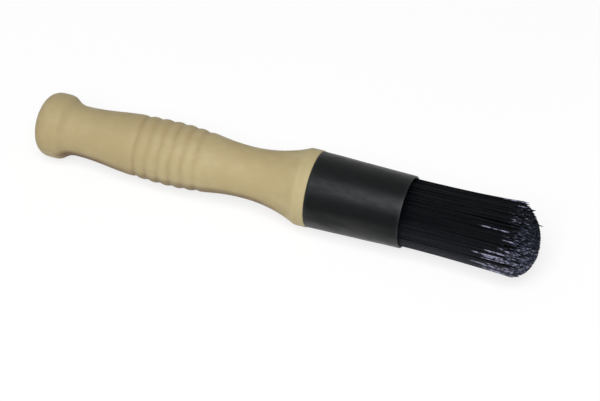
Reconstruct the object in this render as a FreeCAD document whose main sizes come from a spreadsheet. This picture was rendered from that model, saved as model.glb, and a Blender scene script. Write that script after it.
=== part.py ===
import FreeCAD, Part
import math
import os
import random
import Sketcher
from collections import namedtuple

# A round hand brush: a ribbed one-piece grip handle, a tapered ferrule bonded onto the
# handle's spigot, and a domed pack of stiff filaments set in resin inside the ferrule.
# The brush lies along X with its butt face at the origin and its tip towards +X, in mm.
DRIVING_SIZES = {
    # Knob at the butt: a small flat, a domed face, a short land and the turn to the neck
    "butt_flat_radius": 4.0,
    "knob_length": 9.0,
    "knob_corner_round": 7.0,
    "knob_land": 4.2,
    "knob_edge_round": 4.0,
    "knob_lip": 3.5,
    "neck_fillet": 9.0,
    "neck_radius": 12.3,
    # Barrel, which swells from the neck and draws in again to the waist
    "neck_to_barrel": 47.8,
    "barrel_swell": 3.3,
    "barrel_to_waist": 38.3,
    "waist_draw": 3.1,
    "swell_behind_grip": 17.0,
    "swell_before_grip": 6.4,
    # Finger grooves, centred on the barrel
    "groove_count": 6,
    "groove_pitch": 6.16,
    "groove_depth": 0.65,
    "groove_round": 1.8,
    # Flare up to the shoulder that the ferrule butts on
    "flare_sweep": 68.0,
    "shoulder_round": 1.5,
    "shoulder_land": 5.4,
    "shoulder_step": 0.3,
    "shoulder_edge_round": 0.3,
    # Barbed tang on the spigot's end, which the resin grips
    "tang_length": 5.0,
    "tang_radius": 5.0,
    "tang_barb": 1.6,
    "tang_head_length": 2.5,
    "tang_cover": 3.0,
    # Ferrule, with the grooves in its bore that lock the resin
    "ferrule_length": 46.2,
    "ferrule_mouth_radius": 17.35,
    "ferrule_taper": 1.0,
    "ferrule_wall": 1.0,
    "ferrule_rim_round": 0.35,
    "mouth_depth": 5.0,
    "lock_groove_count": 2,
    "lock_groove_pitch": 6.0,
    "lock_groove_width": 2.4,
    "lock_groove_depth": 0.35,
    "lock_groove_setback": 4.0,
    # Bonded filament roots, the band round them and the plug in their centre
    "root_length": 14.0,
    "band_width": 5.0,
    "band_thickness": 0.7,
    "band_setback": 3.0,
    "plug_radius": 4.5,
    "plug_length": 9.0,
    "plug_nose": 1.5,
    # Filaments: straight to the flare, then opening out to a domed trim
    "filament_side": 0.9,
    "filament_gap": 0.07,
    "filament_embedding": 1.0,
    "bundle_clearance": 0.1,
    "bundle_straight": 18.0,
    "bundle_length": 63.6,
    "bundle_spread": 1.5,
    "trim_dome_height": 11.0,
    "trim_unevenness": 0.4,
    "clump_spacing": 6.0,
    "clump_pull": 0.1,
    # Gap between round faces that fit one inside the other
    "fit_clearance": 0.05,
}

# What follows from the driving sizes. Names ending in "at" are stations along the brush
# from the butt face, and a sweep is the radius of a long curve.
DERIVED_SIZES = {
    "knob_radius": "sizes.neck_radius + sizes.knob_lip",
    "barrel_radius": "sizes.neck_radius + sizes.barrel_swell",
    "waist_radius": "fits.barrel_radius - sizes.waist_draw",
    "ferrule_rear_radius": "sizes.ferrule_mouth_radius + sizes.ferrule_taper",
    "shoulder_radius": "fits.ferrule_rear_radius + sizes.shoulder_step",
    "neck_turn": "sizes.knob_edge_round + sizes.neck_fillet",
    "neck_at": "sizes.knob_length + sizes.knob_land"
               " + sqrt(fits.neck_turn ^ 2 - (fits.neck_turn - sizes.knob_lip) ^ 2)",
    "barrel_at": "fits.neck_at + sizes.neck_to_barrel",
    "waist_at": "fits.barrel_at + sizes.barrel_to_waist",
    "grip_half": "(sizes.groove_count - 1) / 2 * sizes.groove_pitch",
    "rear_sweep": "(sizes.neck_to_barrel ^ 2 + sizes.barrel_swell ^ 2)"
                  " / (2 * sizes.barrel_swell) / sizes.neck_to_barrel"
                  " * (fits.grip_half + sizes.swell_behind_grip)",
    "front_sweep": "(sizes.barrel_to_waist ^ 2 + sizes.waist_draw ^ 2)"
                   " / (2 * sizes.waist_draw) / sizes.barrel_to_waist"
                   " * (fits.grip_half + sizes.swell_before_grip)",
    "ridge_sweep": "(sizes.groove_pitch ^ 2 / 4 + sizes.groove_depth ^ 2)"
                   " / (2 * sizes.groove_depth) - sizes.groove_round",
    "flare_turn": "sizes.flare_sweep + sizes.shoulder_round",
    "shoulder_rise": "fits.shoulder_radius - fits.waist_radius",
    "flare_run": "sqrt(fits.flare_turn ^ 2 - (fits.flare_turn - fits.shoulder_rise) ^ 2)",
    "handle_length": "fits.waist_at + fits.flare_run + sizes.shoulder_land",
    "resin_floor": "sizes.tang_length + sizes.tang_cover",
    "spigot_length": "sizes.ferrule_length - sizes.mouth_depth - sizes.root_length"
                     " - fits.resin_floor",
    "resin_at": "fits.handle_length + fits.spigot_length",
    "root_at": "fits.resin_at + fits.resin_floor",
    "mouth_at": "fits.handle_length + sizes.ferrule_length",
    "bundle_radius": "sizes.ferrule_mouth_radius - sizes.ferrule_wall - sizes.bundle_clearance",
    "bundle_tip_radius": "fits.bundle_radius + sizes.bundle_spread",
    "band_seat_radius": "fits.bundle_radius - sizes.band_thickness",
    "band_front": "sizes.band_setback + sizes.band_width",
    "resin_length": "fits.resin_floor + fits.band_front",
    "filament_pitch": "sizes.filament_side * sqrt(2) + sizes.filament_gap",
}

SKETCH_NORMAL = FreeCAD.Vector(0, 0, 1)
ORIGIN_POINT = (-1, 1)
HORIZONTAL_AXIS = -1
CENTRE = 3
ON_RING = 0.01

doc = FreeCAD.newDocument("round_brush")


def fill_sheet():
    table = doc.addObject("Spreadsheet::Sheet", "sizes")
    for row, (alias, value) in enumerate(DRIVING_SIZES.items(), start=1):
        table.set(f"A{row}", alias)
        table.set(f"B{row}", str(value))
        table.setAlias(f"B{row}", alias)
    doc.recompute()
    return table


def fill_fits():
    variables = doc.addObject("App::VarSet", "fits")
    for name, expression in DERIVED_SIZES.items():
        variables.addProperty("App::PropertyFloat", name, "Fits")
        variables.setExpression(name, expression)
    doc.recompute()
    return variables


sheet = fill_sheet()
fits = fill_fits()


def size(alias):
    return float(sheet.get(alias))


def check_document():
    for item in doc.Objects:
        if "Invalid" in item.State or "Error" in item.State:
            raise RuntimeError(f"{item.Label} failed: {item.State}")


# Sketches lie in the XZ plane of their body, so that a sketch's x runs along the brush
# and its y is the radius, and every revolved feature turns about the sketch's own x axis.
def new_body(label, station):
    body = doc.addObject("PartDesign::Body", label)
    body.Label = label
    body.Placement = FreeCAD.Placement()
    body.setExpression("Placement.Base.x", station)
    return body


def new_sketch(body, name):
    sketch = body.newObject("Sketcher::SketchObject", name)
    planes = [item for item in body.Origin.OriginFeatures if item.Role == "XZ_Plane"]
    sketch.AttachmentSupport = [(planes[0], "")]
    sketch.MapMode = "FlatFace"
    return sketch


# Each bound size starts at what is drawn, so that the sketch keeps its form while it is
# being bound.
def drive(sketch, kind, where, drawn, expression):
    index = sketch.addConstraint(Sketcher.Constraint(kind, *where, drawn))
    sketch.setExpression(f"Constraints[{index}]", expression)


def set_station(sketch, point, along):
    drive(sketch, "DistanceX", (*ORIGIN_POINT, *point), sketch.getPoint(*point).x, along)


def set_height(sketch, point, radius):
    drive(sketch, "DistanceY", (*ORIGIN_POINT, *point), sketch.getPoint(*point).y, radius)


def place(sketch, point, along, radius):
    set_station(sketch, point, along)
    set_height(sketch, point, radius)


def set_radius(sketch, curve, radius):
    drive(sketch, "Radius", (curve,), sketch.Geometry[curve].Radius, radius)


# A closed outline of straight lines, its corners given as (station, radius) expressions.
# It is drawn as a plain polygon, and the expressions then move its corners into place.
def corner_outline(body, name, corners):
    sketch = new_sketch(body, name)
    count = len(corners)
    turn = 2 * math.pi / count
    ring = [FreeCAD.Vector(math.cos(turn * i), math.sin(turn * i), 0) for i in range(count)]
    for i in range(count):
        sketch.addGeometry(Part.LineSegment(ring[i], ring[(i + 1) % count]))
    for i in range(count):
        sketch.addConstraint(Sketcher.Constraint("Coincident", i, 2, (i + 1) % count, 1))
    for i, (along, radius) in enumerate(corners):
        place(sketch, (i, 1), along, radius)
    return sketch


def revolve(body, sketch, name):
    feature = body.newObject("PartDesign::Revolution", name)
    feature.Profile = sketch
    feature.ReferenceAxis = (sketch, ["H_Axis"])
    feature.Angle = 360
    return feature


def outer_ring(shape, station):
    rings = {}
    for number, edge in enumerate(shape.Edges, start=1):
        if edge.isClosed() and abs(edge.BoundBox.XMin - station) < ON_RING:
            rings[edge.Curve.Radius] = f"Edge{number}"
    return rings[max(rings)]


# The ferrule's bore tapers with its outside. Its stations run from its rear rim, which
# butts on the handle's shoulder.
def bore_radius(station):
    taper = "sizes.ferrule_taper / sizes.ferrule_length"
    return f"fits.ferrule_rear_radius - sizes.ferrule_wall - ({station}) * {taper}"


# Corners of the bore's lock grooves, from the rear, for the ferrule or, with a gap, for
# the resin that fills them. "start" is the ferrule station of the sketch's origin.
def lock_groove_corners(start, gap):
    corners = []
    for i in range(int(size("lock_groove_count"))):
        rear = f"fits.spigot_length + sizes.lock_groove_setback + {i} * sizes.lock_groove_pitch"
        front = f"{rear} + sizes.lock_groove_width"
        for edge, inward in ((rear, "+"), (front, "-")):
            foot = f"{edge} {inward} {gap}"
            floor = f"{foot} {inward} sizes.lock_groove_depth"
            pair = [
                (f"{foot} - ({start})", f"{bore_radius(foot)} - {gap}"),
                (f"{floor} - ({start})", f"{bore_radius(floor)} - {gap} + sizes.lock_groove_depth"),
            ]
            corners += pair if inward == "+" else pair[::-1]
    return corners


# Handle ---------------------------------------------------------------------------------
# One stretch of the handle's outline, with the ends of its sketch curve named by side.
# A sketch's arcs run anticlockwise, so a bump starts at its right end.
Stretch = namedtuple("Stretch", "curve left right")


def add_arc(sketch, centre, start, end):
    def angle(point):
        return math.atan2(point.y - centre.y, point.x - centre.x)
    circle = Part.Circle(centre, SKETCH_NORMAL, (start - centre).Length)
    return sketch.addGeometry(Part.ArcOfCircle(circle, angle(start), angle(end)))


def bump(sketch, centre, left, right):
    return Stretch(add_arc(sketch, centre, right, left), 2, 1)


def hollow(sketch, centre, left, right):
    return Stretch(add_arc(sketch, centre, left, right), 1, 2)


def straight(sketch, left, right):
    return Stretch(sketch.addGeometry(Part.LineSegment(left, right)), 1, 2)


def meet(sketch, kind, first, second):
    where = (first.curve, first.right, second.curve, second.left)
    sketch.addConstraint(Sketcher.Constraint(kind, *where))


def level_at_right(sketch, arc):
    where = (arc.curve, CENTRE, arc.curve, arc.right)
    sketch.addConstraint(Sketcher.Constraint("Vertical", *where))


def towards(centre, target, distance):
    return centre + (target - centre) * (distance / (target - centre).Length)


# Where two circles cross, on the left of the way from the first centre to the second.
def circle_crossing(first, first_radius, second, second_radius):
    span = second - first
    along = (span.Length ** 2 + first_radius ** 2 - second_radius ** 2) / (2 * span.Length)
    aside = math.sqrt(first_radius ** 2 - along ** 2)
    unit = span / span.Length
    return first + unit * along + FreeCAD.Vector(-unit.y, unit.x, 0) * aside


# The knob's face sweeps from the flat's rim, is centred on the axis and touches the
# corner round, which leaves one distance for its centre.
def knob_face_centre():
    corner = size("knob_corner_round")
    rim = size("butt_flat_radius")
    lean = size("knob_length") / corner
    rest = rim ** 2 + corner ** 2 - size("knob_length") ** 2 - (fits.knob_radius - corner) ** 2
    rest /= 2 * corner
    root = math.sqrt((lean * rest) ** 2 - (lean ** 2 - 1) * (rest ** 2 - rim ** 2))
    return FreeCAD.Vector((root - lean * rest) / (lean ** 2 - 1), 0, 0)


# The finger grooves are hollows whose centres follow the barrel's swell, so that all are
# equally deep. Between them lie ridges that just reach the barrel's surface.
def draw_grip(sketch, sweep_centres, sweeps):
    count = int(size("groove_count"))
    steps = [index - (count - 1) / 2 for index in range(count)]
    sides = ["rear" if step < 0 else "front" for step in steps]
    groove_round = size("groove_round")
    reach = groove_round + fits.ridge_sweep
    lift = FreeCAD.Vector(0, groove_round - size("groove_depth"), 0)

    hollows = []
    for step, side in zip(steps, sides):
        offset = step * size("groove_pitch")
        swell = FreeCAD.Vector(offset, math.sqrt(sweeps[side] ** 2 - offset ** 2), 0)
        hollows.append(sweep_centres[side] + swell + lift)
    ridges = [circle_crossing(front, reach, rear, reach)
              for rear, front in zip(hollows, hollows[1:])]
    ridges.insert(0, circle_crossing(
        sweep_centres["rear"], sweeps["rear"] - fits.ridge_sweep, hollows[0], reach))
    ridges.append(circle_crossing(
        hollows[-1], reach, sweep_centres["front"], sweeps["front"] - fits.ridge_sweep))

    entry = towards(sweep_centres["rear"], ridges[0], sweeps["rear"])
    leave = towards(sweep_centres["front"], ridges[-1], sweeps["front"])
    wave = []
    for centre, behind, ahead in zip(hollows, ridges, ridges[1:]):
        groove_start = towards(centre, behind, groove_round)
        groove_end = towards(centre, ahead, groove_round)
        wave.append(bump(sketch, behind, entry, groove_start))
        wave.append(hollow(sketch, centre, groove_start, groove_end))
        entry = groove_end
    wave.append(bump(sketch, ridges[-1], entry, leave))

    for first, second in zip(wave, wave[1:]):
        meet(sketch, "Tangent", first, second)
    for ridge in wave[0::2]:
        set_radius(sketch, ridge.curve, "fits.ridge_sweep")
    for groove, step, side in zip(wave[1::2], steps, sides):
        sweep = f"fits.{side}_sweep"
        offset = f"{step} * sizes.groove_pitch"
        surface = f"fits.barrel_radius - {sweep} + sqrt({sweep} ^ 2 - ({offset}) ^ 2)"
        place(sketch, (groove.curve, CENTRE), f"fits.barrel_at + {offset}",
              f"{surface} + sizes.groove_round - sizes.groove_depth")
        set_radius(sketch, groove.curve, "sizes.groove_round")
    return wave, entry, leave


def draw_handle_outline(body):
    sketch = new_sketch(body, "handle_outline")
    vector = FreeCAD.Vector

    # Knob, from the butt's flat to the level point at the neck
    butt_rim = vector(0, size("butt_flat_radius"), 0)
    crown = vector(size("knob_length"), fits.knob_radius, 0)
    land_end = crown + vector(size("knob_land"), 0, 0)
    neck = vector(fits.neck_at, size("neck_radius"), 0)
    face_centre = knob_face_centre()
    corner_centre = crown - vector(0, size("knob_corner_round"), 0)
    face_end = towards(face_centre, corner_centre, (butt_rim - face_centre).Length)
    edge_centre = land_end - vector(0, size("knob_edge_round"), 0)
    fillet_centre = neck + vector(0, size("neck_fillet"), 0)
    edge_end = towards(edge_centre, fillet_centre, size("knob_edge_round"))

    # Barrel, whose two sweeps meet the neck's and the waist's where they turn
    barrel = vector(fits.barrel_at, fits.barrel_radius, 0)
    waist = vector(fits.waist_at, fits.waist_radius, 0)
    sweeps = {"rear": fits.rear_sweep, "front": fits.front_sweep}
    centres = {side: barrel - vector(0, sweep, 0) for side, sweep in sweeps.items()}
    turns = {}
    for side, level in (("rear", neck), ("front", waist)):
        run = barrel.x - level.x
        drop = barrel.y - level.y
        sweep = (run ** 2 + drop ** 2) / (2 * drop) - sweeps[side]
        turns[side] = level + vector(0, sweep, 0)
    neck_end = towards(centres["rear"], turns["rear"], sweeps["rear"])
    barrel_end = towards(centres["front"], turns["front"], sweeps["front"])

    # Flare, shoulder and spigot
    flare_centre = waist + vector(0, size("flare_sweep"), 0)
    shoulder_round = size("shoulder_round")
    band_start = vector(fits.waist_at + fits.flare_run, fits.shoulder_radius, 0)
    round_centre = band_start - vector(0, shoulder_round, 0)
    flare_end = towards(round_centre, flare_centre, shoulder_round)
    shoulder = vector(fits.handle_length, fits.shoulder_radius, 0)
    rim_along = vector(size("shoulder_edge_round"), 0, 0)
    rim_across = vector(0, size("shoulder_edge_round"), 0)
    spigot_start = vector(shoulder.x, fits.ferrule_rear_radius - size("ferrule_wall"), 0)
    spigot_end = spigot_start + vector(fits.spigot_length, 0, 0)
    axis_end = vector(spigot_end.x, 0, 0)

    butt_flat = straight(sketch, vector(0, 0, 0), butt_rim)
    knob_face = bump(sketch, face_centre, butt_rim, face_end)
    knob_corner = bump(sketch, corner_centre, face_end, crown)
    knob_land = straight(sketch, crown, land_end)
    knob_edge = bump(sketch, edge_centre, land_end, edge_end)
    neck_fillet = hollow(sketch, fillet_centre, edge_end, neck)
    neck_arc = hollow(sketch, turns["rear"], neck, neck_end)
    grip, grip_start, grip_end = draw_grip(sketch, centres, sweeps)
    barrel_rear = bump(sketch, centres["rear"], neck_end, grip_start)
    barrel_front = bump(sketch, centres["front"], grip_end, barrel_end)
    waist_arc = hollow(sketch, turns["front"], barrel_end, waist)
    flare = hollow(sketch, flare_centre, waist, flare_end)
    shoulder_arc = bump(sketch, round_centre, flare_end, band_start)
    shoulder_land = straight(sketch, band_start, shoulder - rim_along)
    rim = bump(sketch, shoulder - rim_along - rim_across,
               shoulder - rim_along, shoulder - rim_across)
    shoulder_face = straight(sketch, shoulder - rim_across, spigot_start)
    spigot = straight(sketch, spigot_start, spigot_end)
    spigot_face = straight(sketch, spigot_end, axis_end)
    axis = straight(sketch, axis_end, vector(0, 0, 0))

    smooth = [knob_face, knob_corner, knob_land, knob_edge, neck_fillet, neck_arc, barrel_rear,
              grip[0]]
    for first, second in zip(smooth, smooth[1:]):
        meet(sketch, "Tangent", first, second)
    smooth = [grip[-1], barrel_front, waist_arc, flare, shoulder_arc, shoulder_land, rim,
              shoulder_face]
    for first, second in zip(smooth, smooth[1:]):
        meet(sketch, "Tangent", first, second)
    corners = [shoulder_face, spigot, spigot_face, axis, butt_flat, knob_face]
    for first, second in zip(corners, corners[1:]):
        meet(sketch, "Coincident", first, second)
    for line in (butt_flat, shoulder_face, spigot_face):
        sketch.addConstraint(Sketcher.Constraint("Vertical", line.curve))
    for line in (knob_land, shoulder_land, axis):
        sketch.addConstraint(Sketcher.Constraint("Horizontal", line.curve))
    for arc in (neck_fillet, waist_arc):
        level_at_right(sketch, arc)
    origin_end = (butt_flat.curve, butt_flat.left)
    sketch.addConstraint(Sketcher.Constraint("Coincident", *origin_end, *ORIGIN_POINT))
    sketch.addConstraint(
        Sketcher.Constraint("PointOnObject", knob_face.curve, CENTRE, HORIZONTAL_AXIS))

    set_height(sketch, (butt_flat.curve, butt_flat.right), "sizes.butt_flat_radius")
    for arc, radius in (
        (knob_corner, "sizes.knob_corner_round"),
        (knob_edge, "sizes.knob_edge_round"),
        (neck_fillet, "sizes.neck_fillet"),
        (barrel_rear, "fits.rear_sweep"),
        (barrel_front, "fits.front_sweep"),
        (flare, "sizes.flare_sweep"),
        (shoulder_arc, "sizes.shoulder_round"),
        (rim, "sizes.shoulder_edge_round"),
    ):
        set_radius(sketch, arc.curve, radius)
    place(sketch, (knob_corner.curve, knob_corner.right), "sizes.knob_length", "fits.knob_radius")
    set_station(sketch, (knob_land.curve, knob_land.right), "sizes.knob_length + sizes.knob_land")
    set_height(sketch, (neck_fillet.curve, neck_fillet.right), "sizes.neck_radius")
    for arc, side in ((barrel_rear, "rear"), (barrel_front, "front")):
        place(sketch, (arc.curve, CENTRE), "fits.barrel_at",
              f"fits.barrel_radius - fits.{side}_sweep")
    place(sketch, (waist_arc.curve, waist_arc.right), "fits.waist_at", "fits.waist_radius")
    set_height(sketch, (shoulder_land.curve, shoulder_land.right), "fits.shoulder_radius")
    place(sketch, (spigot.curve, spigot.left), "fits.handle_length",
          f"{bore_radius('0')} - sizes.fit_clearance")
    place(sketch, (spigot.curve, spigot.right), "fits.handle_length + fits.spigot_length",
          f"{bore_radius('fits.spigot_length')} - sizes.fit_clearance")
    return sketch


def make_handle():
    body = new_body("handle", "0")
    revolve(body, draw_handle_outline(body), "handle_blank")
    tip = "fits.resin_at + sizes.tang_length"
    head = f"{tip} - sizes.tang_head_length"
    root = "fits.resin_at - sizes.tang_length"
    revolve(body, corner_outline(body, "tang_outline", [
        (root, "0"),
        (root, "sizes.tang_radius"),
        (head, "sizes.tang_radius"),
        (head, "sizes.tang_radius + sizes.tang_barb"),
        (tip, "sizes.tang_radius"),
        (tip, "0"),
    ]), "tang")
    return body


# Ferrule --------------------------------------------------------------------------------
def make_ferrule():
    body = new_body("ferrule", "fits.handle_length")
    front = "sizes.ferrule_length"
    outline = corner_outline(body, "ferrule_outline", [
        ("0", "fits.ferrule_rear_radius"),
        ("0", bore_radius("0")),
        *lock_groove_corners("0", "0"),
        (front, bore_radius(front)),
        (front, "sizes.ferrule_mouth_radius"),
    ])
    sleeve = revolve(body, outline, "sleeve")
    doc.recompute()
    rims = [outer_ring(sleeve.Shape, station) for station in (0.0, size("ferrule_length"))]
    rounds = body.newObject("PartDesign::Fillet", "rim_rounds")
    rounds.Base = (sleeve, rims)
    rounds.setExpression("Radius", "sizes.ferrule_rim_round")
    return body


# Resin, band and plug -------------------------------------------------------------------
# The resin fills the bore from the spigot's end face to the front of the band. It is
# keyed to the tang behind and to the ferrule's lock grooves, and the roots sit in it.
def make_resin_setting():
    body = new_body("resin_setting", "fits.resin_at")
    gap = "sizes.fit_clearance"
    start = "fits.spigot_length"
    floor = "fits.resin_floor"
    front = "fits.resin_length"
    tang_tip = f"sizes.tang_length + {gap}"
    barb = f"sizes.tang_length - sizes.tang_head_length - {gap}"
    outline = corner_outline(body, "resin_outline", [
        ("0", f"{bore_radius(start)} - {gap}"),
        *lock_groove_corners(start, gap),
        (front, f"{bore_radius(f'{start} + {front}')} - {gap}"),
        (front, f"fits.bundle_radius + {gap}"),
        (floor, f"fits.bundle_radius + {gap}"),
        (floor, "0"),
        (tang_tip, "0"),
        (tang_tip, f"sizes.tang_radius + {gap}"),
        (barb, f"sizes.tang_radius + sizes.tang_barb + {gap}"),
        (barb, f"sizes.tang_radius + {gap}"),
        ("0", f"sizes.tang_radius + {gap}"),
    ])
    revolve(body, outline, "resin_plug")
    return body


def make_binding_band():
    body = new_body("binding_band", "fits.root_at + sizes.band_setback")
    inner = "fits.band_seat_radius + sizes.fit_clearance"
    outline = corner_outline(body, "band_outline", [
        ("0", inner),
        ("sizes.band_width", inner),
        ("sizes.band_width", "fits.bundle_radius"),
        ("0", "fits.bundle_radius"),
    ])
    revolve(body, outline, "band_ring")
    return body


def plug_corners(gap):
    nose = "sizes.plug_length - sizes.plug_nose"
    return [
        ("0", f"sizes.plug_radius + {gap}"),
        (nose, f"sizes.plug_radius + {gap}"),
        (f"sizes.plug_length + {gap}", f"sizes.plug_radius - sizes.plug_nose + {gap}"),
        (f"sizes.plug_length + {gap}", "0"),
    ]


def make_centre_plug():
    body = new_body("centre_plug", "fits.root_at")
    outline = corner_outline(body, "plug_outline", [("0", "0"), *plug_corners("0")])
    revolve(body, outline, "plug")
    return body


# Bristle pack ---------------------------------------------------------------------------
# The filaments' roots are one bonded block, drawn in under the band and open behind for
# the centre plug.
def make_bonded_roots():
    body = new_body("bonded_roots", "fits.root_at")
    outline = corner_outline(body, "root_outline", [
        *plug_corners("sizes.fit_clearance"),
        ("sizes.root_length", "0"),
        ("sizes.root_length", "fits.bundle_radius"),
        ("fits.band_front", "fits.bundle_radius"),
        ("fits.band_front", "fits.band_seat_radius"),
        ("sizes.band_setback", "fits.band_seat_radius"),
        ("sizes.band_setback", "fits.bundle_radius"),
        ("0", "fits.bundle_radius"),
    ])
    revolve(body, outline, "root_block")
    return body


def hexagonal_grid(pitch, radius):
    row_step = pitch * math.sqrt(3) / 2
    rows = int(radius / row_step)
    columns = int(radius / pitch) + 1
    points = []
    for row in range(-rows, rows + 1):
        shift = pitch / 2 if row % 2 else 0.0
        for column in range(-columns, columns + 1):
            point = (column * pitch + shift, row * row_step)
            if math.hypot(*point) <= radius:
                points.append(point)
    return points


def square_section(station, centre, side, turn):
    corners = []
    for quarter in range(5):
        angle = turn + quarter * math.pi / 2
        y = centre[0] + math.cos(angle) * side / math.sqrt(2)
        z = centre[1] + math.sin(angle) * side / math.sqrt(2)
        corners.append(FreeCAD.Vector(station, y, z))
    return Part.makePolygon(corners)


# Every filament keeps its place in the pack, turned about itself by chance. Beyond the
# straight part the whole pack opens out evenly, and the filaments lean a little towards
# the middle of their own clump, which parts the clumps and crosses no two filaments.
def make_filaments():
    side = size("filament_side")
    half_diagonal = side / math.sqrt(2)
    reach = fits.bundle_radius - half_diagonal
    opening = (fits.bundle_tip_radius - half_diagonal) / reach
    root = fits.mouth_at - size("mouth_depth") - size("filament_embedding")
    flare = fits.mouth_at + size("bundle_straight")
    apex = fits.mouth_at + size("bundle_length")
    dome = size("trim_dome_height")
    dome_radius = (fits.bundle_tip_radius ** 2 + dome ** 2) / (2 * dome)
    clumps = hexagonal_grid(size("clump_spacing"), reach)
    pull = size("clump_pull")
    chance = random.Random(1)

    filaments = []
    for foot in hexagonal_grid(fits.filament_pitch, reach):
        clump = min(clumps, key=lambda middle: math.dist(middle, foot))
        tip = [opening * (own + (middle - own) * pull) for own, middle in zip(foot, clump)]
        drop = dome_radius - math.sqrt(dome_radius ** 2 - math.hypot(*tip) ** 2)
        end = apex - drop - chance.uniform(0, size("trim_unevenness"))
        turn = chance.uniform(0, math.pi / 2)
        sections = [
            square_section(root, foot, side, turn),
            square_section(flare, foot, side, turn),
            square_section(end, tip, side, turn),
        ]
        filaments.append(Part.makeLoft(sections, True, True))
    return filaments


def make_bristle_pack():
    roots = make_bonded_roots()
    doc.recompute()
    filaments = make_filaments()
    pack = doc.addObject("Part::Feature", "bristle_pack")
    pack.Label = "bristle_pack"
    pack.Shape = roots.Shape.fuse(filaments)
    pack.Placement = FreeCAD.Placement()
    print("filaments", len(filaments))
    return pack


nodes = [
    make_handle(),
    make_ferrule(),
    make_resin_setting(),
    make_binding_band(),
    make_centre_plug(),
    make_bristle_pack(),
]
doc.recompute()
check_document()

os.makedirs("parts", exist_ok=True)
for node in nodes:
    if node.Shape.isNull() or not node.Shape.isValid():
        raise RuntimeError(f"{node.Label} has no valid shape")
    node.Shape.exportStep(f"parts/{node.Label}.step")
    print(node.Label, len(node.Shape.Solids), round(node.Shape.Volume, 1))
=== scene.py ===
import math

import bpy
import numpy as np
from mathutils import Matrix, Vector


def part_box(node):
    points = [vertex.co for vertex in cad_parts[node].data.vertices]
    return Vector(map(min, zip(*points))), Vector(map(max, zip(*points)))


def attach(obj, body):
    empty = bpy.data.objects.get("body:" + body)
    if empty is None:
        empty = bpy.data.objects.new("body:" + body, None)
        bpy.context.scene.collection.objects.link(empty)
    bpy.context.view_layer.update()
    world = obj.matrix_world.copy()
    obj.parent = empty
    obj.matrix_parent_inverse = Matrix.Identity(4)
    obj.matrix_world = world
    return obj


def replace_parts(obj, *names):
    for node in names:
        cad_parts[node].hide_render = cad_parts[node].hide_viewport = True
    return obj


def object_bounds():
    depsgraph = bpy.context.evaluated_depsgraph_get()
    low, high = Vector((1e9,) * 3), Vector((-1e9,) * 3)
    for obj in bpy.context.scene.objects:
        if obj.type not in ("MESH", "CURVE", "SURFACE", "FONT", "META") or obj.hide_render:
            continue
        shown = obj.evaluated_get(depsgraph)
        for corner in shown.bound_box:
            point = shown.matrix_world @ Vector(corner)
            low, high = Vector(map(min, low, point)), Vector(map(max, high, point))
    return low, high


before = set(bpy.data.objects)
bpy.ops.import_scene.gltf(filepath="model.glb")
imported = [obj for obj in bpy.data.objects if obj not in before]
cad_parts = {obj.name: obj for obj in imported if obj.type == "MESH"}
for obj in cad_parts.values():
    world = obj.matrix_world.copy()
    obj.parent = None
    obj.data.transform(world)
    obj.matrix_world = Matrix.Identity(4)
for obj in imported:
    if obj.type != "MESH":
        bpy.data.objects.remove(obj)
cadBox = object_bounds()
mm = 0.001
fullTurn = 2 * math.pi
print("frame loaded", sorted(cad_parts))


# camera: three quarters from above, the tip nearer than the butt
cameraSizes = {
    "azimuth": 20.1,  # degrees
    "elevation": 43.2,  # degrees
    "lens": 150,  # mm on a 36 mm sensor
    "distance": 1180 * mm,
    "clipStart": 10 * mm,  # nothing nearer to the camera is drawn
    "aimStation": 135.2 * mm,  # point of the axis that the view is set by
    "aimRight": 0.85 * mm,  # that point lies right of the middle of the view
    "aimUp": 7.0 * mm,  # and above it
}


# unit vector from the brush to a camera or lamp: (sin a cos e, -cos a cos e, sin e)
def directionTo(azimuth, elevation):
    a, e = math.radians(azimuth), math.radians(elevation)
    return Vector((math.sin(a) * math.cos(e), -math.cos(a) * math.cos(e), math.sin(e)))


# a camera or lamp at the target plus distance times direction, turned to look back at the target
def placeLooking(name, data, target, direction, distance):
    holder = bpy.data.objects.new(name, data)
    holder.location = target + direction * distance
    holder.rotation_mode = "QUATERNION"
    holder.rotation_quaternion = (-direction).to_track_quat("-Z", "Y")
    bpy.context.scene.collection.objects.link(holder)
    return holder


# the target is the station on the axis, moved left by aimRight and down by aimUp in the view, so
# that the brush lies right of the middle and above it
def placeCamera(sizes):
    back = directionTo(sizes["azimuth"], sizes["elevation"])
    azimuth = math.radians(sizes["azimuth"])
    right = Vector((math.cos(azimuth), math.sin(azimuth), 0))
    up = back.cross(right)
    lens = bpy.data.cameras.new("camera")
    lens.lens = sizes["lens"]
    lens.clip_start = sizes["clipStart"]
    target = Vector((sizes["aimStation"], 0, 0)) - right * sizes["aimRight"] - up * sizes["aimUp"]
    camera = placeLooking("camera", lens, target, back, sizes["distance"])
    bpy.context.scene.camera = camera


placeCamera(cameraSizes)
print("camera placed")


# colour as a screen shows it, 0 to 255, turned into linear light
def paint(red, green, blue):
    shown = np.array([red, green, blue]) / 255
    linear = np.where(shown <= 0.04045, shown / 12.92, ((shown + 0.055) / 1.055) ** 2.4)
    return (*linear.tolist(), 1.0)


# one shader node with its settings, its inputs given as sockets to link or as plain values
def addNode(tree, kind, inputs=None, **settings):
    made = tree.nodes.new(kind)
    for name, value in settings.items():
        setattr(made, name, value)
    for socket, value in (inputs or {}).items():
        if isinstance(value, bpy.types.NodeSocket):
            tree.links.new(value, made.inputs[socket])
        else:
            made.inputs[socket].default_value = value
    return made


# first colour where the factor is 0, second where it is 1
def mixColour(tree, factor, first, second):
    made = addNode(tree, "ShaderNodeMix", {0: factor, 6: first, 7: second}, data_type="RGBA")
    return made.outputs[2]


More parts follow.
